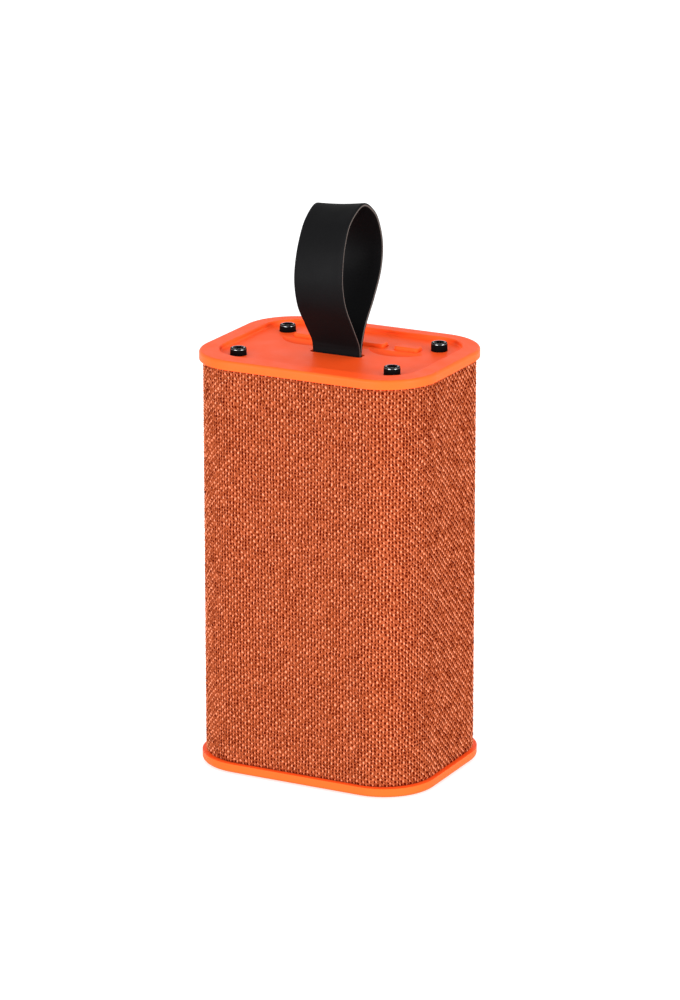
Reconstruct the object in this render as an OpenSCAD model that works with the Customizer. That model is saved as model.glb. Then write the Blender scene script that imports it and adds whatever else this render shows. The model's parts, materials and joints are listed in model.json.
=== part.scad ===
// Portable Bluetooth speaker: a fabric-wrapped upright box with a moulded cap at each end,
// four socket screws, a row of keys and a flexible finger strap on top.
// Millimetres. +Z is up, the front (sound side) faces -Y, and z = 0 is the surface it stands on.

/* [Caps] */
// Width of the end caps, left to right
cap_w = 70; // [68:0.5:74]
// Depth of the end caps, front to back
cap_d = 54.2; // [53:0.1:58]
// Corner radius of the caps in plan
cap_r = 15.3; // [14.5:0.1:16]
// Height of the cap that shows at its side
cap_t = 2.55; // [2.4:0.05:3.2]
// Quarter-round along the outer edge of each cap
cap_edge = 0.8; // [0.4:0.1:1]
// Depth of the recess in the top cap
recess_depth = 1.3; // [1.1:0.1:1.5]
// Width of the recess, left to right
recess_w = 59.6; // [59:0.1:61]
// Depth of the recess, front to back
recess_d = 43.6; // [43:0.1:45]
// How far the recess sits behind the middle
recess_shift = 0.7; // [0:0.1:0.9]
// Thickness of the top cap's floor
floor_t = 2.2; // [2:0.1:2.4]

/* [Body] */
// Height over both caps
body_h = 117.4; // [116:0.2:122]
// How far the rubber base pad stands the body off the table
stand_h = 0.5; // [0.4:0.1:0.8]
// How far the fabric lies inside the caps' outline
fabric_inset = 1.0; // [0.9:0.1:1.3]
// Thickness of the fabric with its backing
fabric_t = 1.1; // [0.9:0.1:1.2]
// Corner radius of the fabric in plan
fabric_r = 14.8; // [14:0.1:15]
// Wall of the inner shell
wall_t = 2; // [1.8:0.1:2.1]

/* [Cap screws] */
// Sideways distance from the centre to each cap screw
screw_x = 23.3; // [22.8:0.1:23.4]
// Fore-and-aft distance from the middle of the four cap screws to each
screw_y = 14.3; // [14:0.1:14.4]
// How far the middle of the four cap screws sits in front of the cap's middle
screw_shift = 0.5; // [0:0.1:0.7]
// Diameter of an M2.5 socket head
head_d = 4.5; // [4.3:0.1:4.6]
// Height of the socket head
head_h = 2.5; // [2.3:0.1:2.6]
// How much of the two left heads stands above the recess floor
proud_left = 2.0; // [1.8:0.1:2.4]
// How much of the two right heads stands above it
proud_right = 2.4; // [1.8:0.1:2.4]

/* [Strap] */
// Width of the strap band
strap_w = 15; // [12:0.5:15]
// Thickness of the strap band
strap_t = 0.95; // [0.8:0.05:0.95]
// Width of the slot that the strap comes out of
slot_w = 15.6; // [15.5:0.1:16.4]
// Fore-and-aft size of that slot
slot_d = 3.4; // [3:0.1:3.6]

/* [Keys] */
// Length of each key bar
key_w = 7.1; // [6.8:0.1:7.4]
// Width of each key bar
key_d = 3.5; // [3:0.1:3.6]
// Height of the key bars above the recess floor
key_proud = 1.0; // [0.8:0.1:1.2]
// Distance between neighbouring keys
key_pitch = 10.3; // [10.2:0.1:10.6]
// Travel of a key
key_travel = 0.4; // [0.3:0.05:0.4]
// Radius of the two finger scoops in front of the keys
scoop_r = 9.1; // [8.8:0.1:9.3]
// Depth of each scoop
scoop_depth = 1.4; // [0.6:0.1:1.4]

/* [Sound] */
// Height of the driver's axis above the table
driver_z = 78; // [77:0.5:79]
// Height of the passive radiator's axis above the table
radiator_z = 32; // [31.5:0.5:33]
// Outer radius of both baskets
basket_r = 21; // [20.8:0.1:21.2]

/* [Power and ports] */
// Diameter of the 18650 cell with its wrap
cell_d = 18.3; // [18:0.1:18.6]
// Length of the cell
cell_len = 65; // [64.5:0.5:66]
// Radius of the audio socket's bore
jack_r = 1.8; // [1.76:0.01:1.85]
// Height of the audio socket's axis above the table
port_z = 14; // [13.8:0.1:14.2]

/* [Hidden] */
$fn = 64;
eps = 0.01;
coral = "#f4673f";
pcb_green = "#1f5a3c";

// heights, from the table up
z_base = stand_h;
z_top = stand_h + body_h;
z_low = z_base + cap_t;          // lower cap seam
z_high = z_top - cap_t;          // upper cap seam
z_floor = z_top - recess_depth;  // recess floor
z_under = z_floor - floor_t;     // underside of that floor
gasket_t = 0.8;
pad_z = z_under - 1.3;           // lower face of the screw pads in the top cap
base_pad_z = z_low + 1.5;        // upper face of the screw pads in the base cap

// plan outlines
fabric_w = cap_w - 2 * fabric_inset;
fabric_d = cap_d - 2 * fabric_inset;
shell_w = fabric_w - 2 * fabric_t;
shell_d = fabric_d - 2 * fabric_t;
shell_r = fabric_r - fabric_t;
in_w = shell_w - 2 * wall_t;
in_d = shell_d - 2 * wall_t;
in_r = shell_r - wall_t;
lip_gap = 0.3;
lip_t = 1.6;
lip_h = 2.2;

// screws and inserts
screw_places = [for (sx = [-1, 1], sy = [-1, 1]) [sx * screw_x, sy * screw_y - screw_shift]];
function head_proud(x) = x < 0 ? proud_left : proud_right;
pad_r = 3.3;
boss_r = 3.2;
boss_h = 12;
insert_r = 1.8;
insert_h = 5;
thread_r = 1.25;
foot_w = 58;
foot_d = 42;
foot_r = 11;
foot_sunk = 0.7;

// strap: the band's centre line from its front leg over the top to its rear leg, as
// [distance behind the middle, height above the recess floor]
strap_y = -1.5;
hinge_h = 0.3;
hinge_r = 1;
strap_gap = 0.05;
leg_y = strap_t / 2 + strap_gap / 2;
strap_line = [
    [strap_y - leg_y, 0], [-2.3, 2.5], [-4.9, 7.2], [-9.4, 13.9], [-12, 20.6], [-11.7, 26.3],
    [-9.4, 32.6], [-5.8, 37.3], [0.4, 40.7], [6.1, 37.7], [9.9, 32.7], [11.2, 27], [9.8, 20.8],
    [5.7, 14.4], [1.6, 8.9], [-0.4, 4.5], [strap_y + leg_y, 0]
];
pin_r = 1;
pin_len = 20;
pin_z = z_under - 2.2;
saddle_x = slot_w / 2 + 1;
clamp_x = 13;
clamp_z = pin_z - 1.4;

// keys, switches and board
key_y = 10.55;
key_x = [for (i = [-1.5 : 1.5]) i * key_pitch];
key_clear = 0.2;
scoop_x = 13.3;
scoop_start = 7.5;                // where the scoops begin to fall away
scoop_lip = 2.1;                  // their steep front lip
scoop_slope = 25;
board_z = z_under - 6.8;         // upper face of the main board
board_t = 1.6;
switch_h = 3.4;
standoff_x = 14;
standoff_y = 16.4;

// sound parts: baffle faces, measured from the middle of the body towards the front
baffle_front = shell_d / 2 - wall_t - 2.6;
baffle_t = 2;
baffle_w = 48;
opening_r = 17.9;
basket_screw_r = 19.4;
window_z = [12, 102];
window_w = 34;
grille_w = 38;
grille_t = 0.8;

// power and ports
cell_y = 12.2;
cell_z = 27;
port_w = 32;
port_h = 12;
port_r = 3;
jack_x = 8;
usb_x = -8;
port_board_z = port_z - 2.6;
port_screw_x = 13.5;
ribbon_x = 15.2;

// ---------- shared shapes ----------

// rounded rectangle in plan
module plan(w, d, r) {
    square([w - 2 * r, d], center = true);
    square([w, d - 2 * r], center = true);
    for (sx = [-1, 1], sy = [-1, 1]) translate([sx * (w / 2 - r), sy * (d / 2 - r)]) circle(r);
}

module prism(w, d, r, z0, z1) {
    translate([0, 0, z0]) linear_extrude(z1 - z0) plan(w, d, r);
}

module post(x, y, r, z0, z1) {
    translate([x, y, z0]) cylinder(r = r, h = z1 - z0);
}

// quarter-round band on the edge of a rounded rectangle, upwards from z = 0
module edge_round(w, d, r, e) {
    module quarter() intersection() { circle(e); square(e); }
    for (sx = [0, 1], sy = [0, 1]) mirror([sx, 0, 0]) mirror([0, sy, 0]) {
        translate([w / 2 - r, d / 2 - r, 0]) rotate_extrude(angle = 90) translate([r - e, 0]) quarter();
    }
    for (s = [0, 1]) {
        mirror([0, s, 0]) translate([-(w / 2 - r), d / 2 - e, 0])
            rotate([90, 0, 90]) linear_extrude(w - 2 * r) quarter();
        mirror([s, 0, 0]) translate([w / 2 - e, d / 2 - r, 0])
            rotate([90, 0, 0]) linear_extrude(d - 2 * r) quarter();
    }
}

// widening flare of radius e on the mouth of a rounded rectangle, upwards from z = 0
module mouth_flare(w, d, r, e) {
    module flare() difference() { square(e); translate([e, 0]) circle(e); }
    for (sx = [0, 1], sy = [0, 1]) mirror([sx, 0, 0]) mirror([0, sy, 0]) {
        translate([w / 2 - r, d / 2 - r, 0]) rotate_extrude(angle = 90) translate([r - eps, 0]) flare();
    }
    for (s = [0, 1]) {
        mirror([0, s, 0]) translate([-(w / 2 - r), d / 2 - eps, 0])
            rotate([90, 0, 90]) linear_extrude(w - 2 * r) flare();
        mirror([s, 0, 0]) translate([w / 2 - eps, d / 2 - r, 0])
            rotate([90, 0, 0]) linear_extrude(d - 2 * r) flare();
    }
}

// slab of a rounded rectangle with a quarter-round of radius e on its upper edge
module slab(w, d, r, h, e) {
    prism(w, d, r, 0, h - e);
    prism(w - 2 * e, d - 2 * e, r - e, h - e, h);
    translate([0, 0, h - e]) edge_round(w, d, r, e);
}

// puts a shape drawn facing +Z on the baffle, facing the front, at height z
module on_baffle(z) {
    translate([0, -baffle_front, z]) rotate([90, 0, 0]) children();
}

module ring(r_out, r_in, z0, z1) {
    translate([0, 0, z0]) difference() {
        cylinder(r = r_out, h = z1 - z0);
        translate([0, 0, -eps]) cylinder(r = r_in, h = z1 - z0 + 2 * eps);
    }
}

// four places on a circle, between the axes
module four_round(r) {
    for (a = [45 : 90 : 315]) rotate(a) translate([r, 0, 0]) children();
}

// screw with its head's underside at z = 0, the shank below
module cheese_screw(head_r, head_t, shank_r, shank_len) {
    difference() {
        union() {
            translate([0, 0, -shank_len]) cylinder(r = shank_r, h = shank_len + eps);
            cylinder(r = head_r, h = head_t);
        }
        for (a = [0, 90]) rotate(a) translate([-head_r * 0.55, -0.2, head_t * 0.45])
            cube([head_r * 1.1, 0.4, head_t]);
    }
}

// point at t on the smooth curve from b to c, with a and d as neighbours
function curve_point(a, b, c, d, t) =
    0.5 * (2 * b + (c - a) * t + (2 * a - 5 * b + 4 * c - d) * t * t
           + (3 * b - a - 3 * c + d) * t * t * t);
function with_ends(p) =
    concat([2 * p[0] - p[1]], p, [2 * p[len(p) - 1] - p[len(p) - 2]]);
function smooth_line(p, n) =
    let (q = with_ends(p))
    concat([for (i = [1 : len(q) - 3], k = [0 : n - 1])
                curve_point(q[i - 1], q[i], q[i + 1], q[i + 2], k / n)], [p[len(p) - 1]]);
// the line moved sideways by s
function beside(p, s) = [for (i = [0 : len(p) - 1])
    let (run = p[min(i + 1, len(p) - 1)] - p[max(i - 1, 0)])
    p[i] + s * [-run[1], run[0]] / norm(run)];

// round wire swept along a smooth line: rings of eight corners, closed at both ends
module wire(places, r) {
    sides = 8;
    line = smooth_line(places, 3);
    last = len(line) - 1;
    across = [1, 1, 0];
    rings = [for (i = [0 : last])
        let (run = line[min(i + 1, last)] - line[max(i - 1, 0)],
             u = cross(run, across) / norm(cross(run, across)),
             v = cross(run, u) / norm(cross(run, u)))
        for (k = [0 : sides - 1]) line[i] + r * (cos(360 * k / sides) * u + sin(360 * k / sides) * v)];
    walls = [for (i = [0 : last - 1], k = [0 : sides - 1])
        let (a = i * sides + k, b = i * sides + (k + 1) % sides) [a, b, b + sides, a + sides]];
    polyhedron(rings, concat([[for (k = [sides - 1 : -1 : 0]) k]], walls,
                             [[for (k = [0 : sides - 1]) last * sides + k]]));
}

// ---------- caps and body ----------

module cap_plug(z0, z1, seam) {
    difference() {
        prism(in_w - 2 * lip_gap, in_d - 2 * lip_gap, in_r - lip_gap, z0, z1);
        prism(in_w - 2 * (lip_gap + lip_t), in_d - 2 * (lip_gap + lip_t), in_r - lip_gap - lip_t,
              z0 - 1, seam);
    }
}

// half-round seats that hold the strap pin against the cap
module pin_seats(z0, z1) {
    difference() {
        for (s = [-1, 1]) translate([s * saddle_x - 0.8, strap_y - 2.4, z0]) cube([1.6, 4.8, z1 - z0]);
        translate([-pin_len, strap_y, pin_z]) rotate([0, 90, 0]) cylinder(r = pin_r + 0.03, h = 2 * pin_len);
    }
}

module top_cap() color(coral) {
    recess_r = cap_r - (cap_w - recess_w) / 2;
    soft = 0.5;
    difference() {
        union() {
            translate([0, 0, z_high]) slab(cap_w, cap_d, cap_r, cap_t, cap_edge);
            cap_plug(z_under - lip_h, z_high, z_under);
            for (p = screw_places) post(p[0], p[1], pad_r, pad_z, z_under + eps);
            for (sx = [-1, 1], sy = [-1, 1])
                post(sx * standoff_x, sy * standoff_y, 2.2, board_z, z_under + eps);
            for (s = [-1, 1]) post(s * clamp_x, strap_y, 2, clamp_z, z_under + eps);
            pin_seats(pin_z, z_under + eps);
        }
        // recess, soft where its wall meets the rim and where it meets the floor
        translate([0, recess_shift, z_top]) {
            mirror([0, 0, 1]) slab(recess_w, recess_d, recess_r, recess_depth, recess_depth - soft - 0.05);
            prism(recess_w, recess_d, recess_r, -eps, 1);
            translate([0, 0, eps - soft]) mouth_flare(recess_w, recess_d, recess_r, soft);
        }
        // screw holes with counterbores
        for (p = screw_places) {
            post(p[0], p[1], head_d / 2 + 0.15, z_floor + head_proud(p[0]) - head_h, z_top);
            post(p[0], p[1], thread_r + 0.15, pad_z - 1, z_top);
        }
        // strap slot
        translate([0, strap_y, 0]) prism(slot_w, slot_d, 0.8, z_under - 1, z_top);
        // finger scoops: a slope down from the keys to a steep round lip
        for (s = [-1, 1]) intersection() {
            post(s * scoop_x, scoop_lip + scoop_r, scoop_r, z_floor - scoop_depth, z_floor + 1);
            translate([s * scoop_x - scoop_r, scoop_start, z_floor])
                rotate([scoop_slope, 0, 0]) translate([0, -2 * scoop_r, 0])
                cube([2 * scoop_r, 2 * scoop_r, 6]);
        }
        // key openings
        for (x = key_x) translate([x, key_y, 0])
            prism(key_w + 2 * key_clear, key_d + 2 * key_clear, 0.8, z_under - 1, z_top);
        // pilot holes in the standoffs and clamp posts
        for (sx = [-1, 1], sy = [-1, 1])
            post(sx * standoff_x, sy * standoff_y, 0.8, board_z - 1, z_under - 1);
        for (s = [-1, 1]) post(s * clamp_x, strap_y, 0.8, clamp_z - 1, z_under);
    }
}

module base_cap() color(coral) difference() {
    union() {
        translate([0, 0, z_low]) mirror([0, 0, 1]) slab(cap_w, cap_d, cap_r, cap_t, cap_edge);
        translate([0, 0, 2 * z_low]) mirror([0, 0, 1])
            cap_plug(z_low - 1.5, z_low + eps, z_low - eps);
        for (p = screw_places) post(p[0], p[1], pad_r, z_low - eps, base_pad_z);
        for (s = [-1, 1]) post(s * port_screw_x, 11.5, 2, z_low - eps, port_board_z - 1.2);
    }
    prism(foot_w + 0.2, foot_d + 0.2, foot_r + 0.1, z_base - 1, z_base + foot_sunk);
    for (p = screw_places) {
        post(p[0], p[1], head_d / 2 + 0.15, z_base, z_base + foot_sunk + 1.1);
        post(p[0], p[1], thread_r + 0.15, z_base, base_pad_z + 1);
    }
    for (s = [-1, 1]) post(s * port_screw_x, 11.5, 0.8, z_low, port_board_z);
}

// opening for the port panel, through a wall at the back
module port_window(grow, y0, y1) {
    translate([0, y1, port_z]) rotate([90, 0, 0]) linear_extrude(y1 - y0)
        plan(port_w + 2 * grow, port_h + 2 * grow, port_r + grow);
}

module fabric_sleeve() color("#c96a45") difference() {
    prism(fabric_w, fabric_d, fabric_r, z_low, z_high);
    prism(shell_w, shell_d, shell_r, z_low - 1, z_high + 1);
    port_window(0.1, shell_d / 2 - 4, cap_d);
}

module shell() color("#2b2b2d") {
    z0 = z_low + gasket_t;
    z1 = z_high - gasket_t;
    zg = (window_z[0] + window_z[1]) / 2;
    difference() {
        union() {
            difference() {
                prism(shell_w, shell_d, shell_r, z0, z1);
                prism(in_w, in_d, in_r, z0 - 1, z1 + 1);
            }
            intersection() {
                prism(in_w + 1, in_d + 1, in_r + 0.5, base_pad_z, pad_z);
                union() {
                    for (p = screw_places, ends = [[base_pad_z, base_pad_z + boss_h], [pad_z - boss_h, pad_z]]) {
                        post(p[0], p[1], boss_r, ends[0], ends[1]);
                        translate([p[0], p[1], ends[0] + 1])
                            rotate(atan2(sign(p[1]), sign(p[0]))) translate([0, -1.2, 0])
                            cube([8, 2.4, ends[1] - ends[0] - 2]);
                    }
                    // guides that the baffle slides down between
                    for (s = [0, 1]) mirror([s, 0, 0]) {
                        translate([22, -baffle_front - 2, 8]) cube([8, 1.95, 98]);
                        translate([22, -baffle_front + baffle_t + 0.05, 8]) cube([8, 1.5, 98]);
                    }
                }
            }
        }
        // front window, stepped to seat the grille
        translate([0, -shell_d / 2 + grille_t + 0.1, zg]) rotate([90, 0, 0])
            linear_extrude(2) plan(grille_w, window_z[1] - window_z[0] + 4, 4);
        translate([0, 0, zg]) rotate([90, 0, 0])
            linear_extrude(shell_d) plan(window_w, window_z[1] - window_z[0], 3);
        port_window(0.1, shell_d / 2 - 4, shell_d);
        for (p = screw_places) {
            post(p[0], p[1], insert_r, pad_z - insert_h, pad_z + 1);
            post(p[0], p[1], thread_r + 0.15, pad_z - boss_h + 1.5, pad_z);
            post(p[0], p[1], insert_r, base_pad_z - 1, base_pad_z + insert_h);
            post(p[0], p[1], thread_r + 0.15, base_pad_z, base_pad_z + boss_h - 1.5);
        }
    }
}

module front_grille() color("#303032") {
    h = window_z[1] - window_z[0] + 3.6;
    pitch = 3.3;
    columns = 5;
    rows = 13;
    translate([0, -shell_d / 2 + grille_t + 0.05, (window_z[0] + window_z[1]) / 2]) rotate([90, 0, 0])
        difference() {
            linear_extrude(grille_t) plan(grille_w - 0.4, h, 3.8);
            for (i = [-columns + 0.5 : columns - 0.5], j = [-rows : rows])
                translate([(i + 0.25 * (abs(j) % 2 == 1 ? 1 : -1)) * pitch, j * pitch, -1])
                    cylinder(r = 1.1, h = 3, $fn = 6);
        }
}

module baffle() color("#1d1d1f") difference() {
    translate([-baffle_w / 2, -baffle_front, 8.2]) cube([baffle_w, baffle_t, 97.6]);
    for (z = [driver_z, radiator_z]) on_baffle(z) {
        translate([0, 0, -baffle_t - 1]) cylinder(r = opening_r, h = baffle_t + 2);
        four_round(basket_screw_r) translate([0, 0, -baffle_t - 1]) cylinder(r = 0.75, h = baffle_t + 2);
    }
}

module gasket(z0) color("#111111") difference() {
    prism(shell_w, shell_d, shell_r, z0, z0 + gasket_t);
    prism(in_w, in_d, in_r, z0 - 1, z0 + gasket_t + 1);
}
module top_gasket() gasket(z_high - gasket_t);
module base_gasket() gasket(z_low);

// socket-head screw with the underside of its head at z = 0
module socket_screw(length) {
    e = 0.35;
    difference() {
        union() {
            translate([0, 0, -length]) cylinder(r = thread_r, h = length + eps);
            cylinder(d = head_d, h = head_h - e);
            rotate_extrude() {
                square([head_d / 2 - e, head_h]);
                translate([head_d / 2 - e, head_h - e]) intersection() { circle(e); square(e); }
            }
        }
        translate([0, 0, head_h - 1.4]) cylinder(r = 1.2, h = 2, $fn = 6);
    }
}

module cap_screws() color("#1a1a1c") for (p = screw_places)
    translate([p[0], p[1], z_floor + head_proud(p[0]) - head_h]) rotate(15) socket_screw(8);

module base_screws() color("#1a1a1c") for (p = screw_places)
    translate([p[0], p[1], z_base + foot_sunk + 1.1]) mirror([0, 0, 1])
        cheese_screw(head_d / 2, 1, thread_r, 7);

module inserts(z0) color("#b58b3c") for (p = screw_places) translate([p[0], p[1], 0]) {
    ring(insert_r - 0.02, thread_r + 0.05, z0, z0 + 2);
    ring(insert_r - 0.3, thread_r + 0.05, z0 + 2 - eps, z0 + insert_h - 2 + eps);
    ring(insert_r - 0.02, thread_r + 0.05, z0 + insert_h - 2, z0 + insert_h);
}
module cap_inserts() inserts(pad_z - insert_h);
module base_inserts() inserts(base_pad_z);

module base_pad() color("#232325") prism(foot_w, foot_d, foot_r, 0, z_base + foot_sunk);

// ---------- strap ----------

module strap_loop() color("#28282a") translate([-strap_w / 2, 0, z_floor]) rotate([90, 0, 90])
    linear_extrude(strap_w) {
        line = smooth_line(concat([[strap_line[0][0], hinge_h]],
                                  [for (i = [1 : len(strap_line) - 2]) strap_line[i]],
                                  [[strap_line[len(strap_line) - 1][0], hinge_h]]), 5);
        outer = beside(line, strap_t / 2);
        inner = beside(line, -strap_t / 2);
        polygon(concat(outer, [for (i = [len(inner) - 1 : -1 : 0]) inner[i]]));
        translate([strap_y, hinge_h]) circle(hinge_r);
    }

module strap_tail() color("#28282a") translate([-strap_w / 2, 0, 0]) rotate([90, 0, 90])
    linear_extrude(strap_w) difference() {
        union() {
            translate([strap_y - hinge_r, pin_z])
                square([2 * hinge_r, z_floor + hinge_h - hinge_r - strap_gap - pin_z]);
            translate([strap_y, pin_z]) circle(pin_r + strap_t);
        }
        translate([strap_y, pin_z]) circle(pin_r + 0.02);
    }

module strap_pin() color("#9a9a9e") translate([-pin_len / 2, strap_y, pin_z])
    rotate([0, 90, 0]) cylinder(r = pin_r, h = pin_len);

module strap_clamp() color("#38383b") difference() {
    union() {
        translate([0, strap_y, 0]) prism(2 * clamp_x + 4.4, 5.2, 2.2, clamp_z - 1.4, clamp_z);
        pin_seats(clamp_z - 1, pin_z);
    }
    for (s = [-1, 1]) post(s * clamp_x, strap_y, 1.1, clamp_z - 3, clamp_z + 1);
    // room for the lower round of the strap
    translate([-strap_w / 2 - 0.3, strap_y, pin_z]) rotate([0, 90, 0])
        cylinder(r = pin_r + strap_t + 0.15, h = strap_w + 0.6);
}

module clamp_screws() color("#8a8a8e") for (s = [-1, 1])
    translate([s * clamp_x, strap_y, clamp_z - 1.4]) mirror([0, 0, 1]) cheese_screw(1.8, 1, 0.75, 4.2);

// ---------- keys ----------

module key(x) color(coral) translate([x, key_y, 0]) {
    e = 0.5;
    top = z_floor + key_proud;
    flange_z = z_under - 0.9;
    translate([0, 0, z_under - 0.2]) slab(key_w, key_d, 0.7, top - z_under + 0.2, e);
    prism(key_w + 2, key_d + 2, 1.2, flange_z, z_under - 0.1);
    post(0, 0, 1.3, board_z + switch_h + key_travel + 0.1, flange_z + eps);
    post(0, 0, 0.9, board_z + switch_h - 0.6, flange_z);
}
module key_power() key(key_x[0]);
module key_minus() key(key_x[1]);
module key_play() key(key_x[2]);
module key_plus() key(key_x[3]);

module key_switches() color("#c9c9c4") for (x = key_x) difference() {
    translate([x - 2.25, key_y - 2.25, board_z]) cube([4.5, 4.5, switch_h]);
    post(x, key_y, 1.05, board_z + switch_h - 0.7 - key_travel, board_z + switch_h + 1);
}

// ---------- electronics ----------

module main_board() color(pcb_green) difference() {
    translate([0, 0, board_z - board_t]) linear_extrude(board_t) {
        square([36, 38], center = true);
        square([56, 19], center = true);
    }
    for (sx = [-1, 1], sy = [-1, 1])
        post(sx * standoff_x, sy * standoff_y, 1.1, board_z - 3, board_z + 1);
}

module board_screws() color("#8a8a8e") for (sx = [-1, 1], sy = [-1, 1])
    translate([sx * standoff_x, sy * standoff_y, board_z - board_t])
        mirror([0, 0, 1]) cheese_screw(1.8, 1.1, 0.75, 5);

module bluetooth_module() color("#1d3f6b") translate([-7, -18, board_z]) cube([14, 12, 0.8]);

module module_shield() color("#b9bcc0") translate([-6.2, -17.2, board_z + 0.8]) difference() {
    cube([12.4, 8, 1.6]);
    translate([0.2, 0.2, -eps]) cube([12, 7.6, 1.4]);
}

module amplifier_chip() color("#17171a") translate([-4.5, -6, board_z - board_t - 1]) cube([5, 4.4, 1]);

module capacitors() color("#4b5563") for (x = [4, 10])
    post(x, -6, 2.5, board_z - board_t - 5.4, board_z - board_t);

// battery, driver and port connectors under the board
module board_connectors() color("#e6e2d6")
    for (p = [[16, 3, 6], [22, -4, 6], [ribbon_x, 9.5, 5]])
        translate([p[0] - p[2] / 2, p[1] - 2, board_z - board_t - 3.4]) difference() {
            cube([p[2], 4, 3.4]);
            translate([0.8, 0.8, -1]) cube([p[2] - 1.6, 2.4, 3]);
        }

// ---------- driver ----------

module driver_basket() color("#3a3a3d") on_baffle(driver_z) difference() {
    rotate_extrude() polygon([
        [17, 0.4], [basket_r, 0.4], [basket_r, 1.6], [17.7, 1.6], [17.7, 1], [16.4, 1],
        [16.4, 0], [12.2, -10.9], [8, -10.9], [8, -12], [13.2, -12], [17, -1]
    ]);
    four_round(basket_screw_r) translate([0, 0, -1]) cylinder(r = 0.85, h = 4);
    // windows in the side of the basket
    for (a = [0 : 90 : 270]) rotate(a) translate([9, -4, -9]) cube([12, 8, 6]);
}

// half-roll edge between a basket and what moves inside it
module roll_edge(r_in, r_out, z) {
    mid = (r_in + r_out) / 2;
    half = (r_out - r_in) / 2;
    translate([0, 0, z]) rotate_extrude() {
        translate([mid, 0]) difference() {
            circle(half);
            circle(half - 0.4);
            translate([-half - 1, -2 * half]) square([2 * half + 2, 2 * half]);
        }
        translate([r_out - 0.4, 0]) square([1.2, 0.4]);
    }
}
module driver_surround() color("#151516") on_baffle(driver_z) roll_edge(13.5, 16.8, 1);
module radiator_surround() color("#151516") on_baffle(radiator_z) roll_edge(13.1, 16.8, 1);

module driver_cone() color("#2c2c2e") on_baffle(driver_z) rotate_extrude() polygon([
    [7.15, -8], [7.15, -7.2], [12.4, 0.5], [13.2, 0.5], [13.2, 0], [12.7, 0], [7.6, -8]
]);

module dust_cap() color("#242426") on_baffle(driver_z) rotate_extrude() intersection() {
    translate([0, -14.2]) difference() { circle(9.9); circle(9.5); }
    translate([0, -7.25]) square([7.1, 4]);
}

module voice_coil() color("#b4652a") on_baffle(driver_z) ring(7.14, 6.86, -16.5, -7.25);

module driver_spider() color("#c79a4a") on_baffle(driver_z) rotate_extrude()
    for (r = [7.5 : 1.1 : 11]) {
        translate([r, -10.3]) square([0.56, 0.3]);
        translate([r + 0.55, -10.6]) square([0.56, 0.3]);
        translate([r + 0.45, -10.6]) square([0.2, 0.6]);
        translate([r + 1, -10.6]) square([0.2, 0.6]);
    }

module driver_top_plate() color("#8f9196") on_baffle(driver_z) ring(13.2, 7.5, -14, -12);
module driver_magnet() color("#3b3b3f") on_baffle(driver_z) ring(13.2, 8.4, -18, -14);
module driver_yoke() color("#8f9196") on_baffle(driver_z) {
    translate([0, 0, -20]) cylinder(r = 13.2, h = 2);
    translate([0, 0, -18 - eps]) cylinder(r = 6.5, h = 5.8);
}

module driver_terminals() color("#c4a24a") on_baffle(driver_z) for (y = [-3, 1])
    translate([17.6, y, -4.6]) cube([0.6, 2, 2.2]);

module radiator_frame() color("#3a3a3d") on_baffle(radiator_z) difference() {
    rotate_extrude() polygon([
        [17, 0.4], [basket_r, 0.4], [basket_r, 1.6], [17.7, 1.6], [17.7, 1], [15.6, 1],
        [15.6, -1.4], [17, -1.4]
    ]);
    four_round(basket_screw_r) translate([0, 0, -1]) cylinder(r = 0.85, h = 4);
}

module radiator_plate() color("#2c2c2e") on_baffle(radiator_z)
    translate([0, 0, 0.2]) cylinder(r = 12.8, h = 1.2);

module radiator_weight() color("#8f9196") on_baffle(radiator_z)
    translate([0, 0, -1.8]) cylinder(r = 7, h = 2);

module basket_gaskets() color("#111111") for (z = [driver_z, radiator_z])
    on_baffle(z) difference() {
        ring(basket_r, 18, 0, 0.4);
        four_round(basket_screw_r) translate([0, 0, -1]) cylinder(r = 0.85, h = 4);
    }

module basket_screws() color("#8a8a8e") for (z = [driver_z, radiator_z])
    on_baffle(z) four_round(basket_screw_r) translate([0, 0, 1.6]) cheese_screw(1.5, 0.7, 0.7, 3.4);

// ---------- power and ports ----------

module battery_cell() color("#2f6db0") {
    post(0, cell_y, cell_d / 2, cell_z, cell_z + cell_len - 1);
    post(0, cell_y, 3.2, cell_z, cell_z + cell_len);
}

module battery_cradle() color("#26262a") difference() {
    translate([-11, cell_y + 0.8, cell_z - 1.8]) cube([22, in_d / 2 - 0.8 - cell_y - 0.8, cell_len + 3.6]);
    post(0, cell_y, cell_d / 2 + 0.1, cell_z - 0.1, cell_z + cell_len + 0.1);
    translate([-4, cell_y - 1, cell_z + cell_len]) cube([8, 6, 4]);
}

module battery_tape() color("#dcd7c4")
    translate([-9, in_d / 2 - 0.8, cell_z + 4]) cube([18, 0.8, cell_len - 8]);

module protection_board() color(pcb_green)
    translate([-7, 3.6, cell_z + cell_len + 2.2]) cube([14, 15, 0.9]);

module port_panel() color("#1c1c1e") difference() {
    union() {
        port_window(0, in_d / 2 - eps, fabric_d / 2);
        translate([0, in_d / 2, port_z]) rotate([90, 0, 0]) linear_extrude(1)
            plan(port_w + 4, port_h + 3, port_r + 1.4);
    }
    translate([jack_x, 0, port_z]) rotate([-90, 0, 0]) cylinder(r = 2.65, h = cap_d);
    translate([usb_x, cap_d, port_z - 1.25]) rotate([90, 0, 0]) linear_extrude(cap_d)
        plan(8, 3, 0.8);
    translate([0, 0, port_z]) rotate([-90, 0, 0]) cylinder(r = 0.85, h = cap_d);
}

module port_board() color(pcb_green) difference() {
    translate([-17, 8.5, port_board_z - 1.2]) cube([34, 12.5, 1.2]);
    for (s = [-1, 1]) post(s * port_screw_x, 11.5, 1.1, port_board_z - 3, port_board_z + 1);
}

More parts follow.
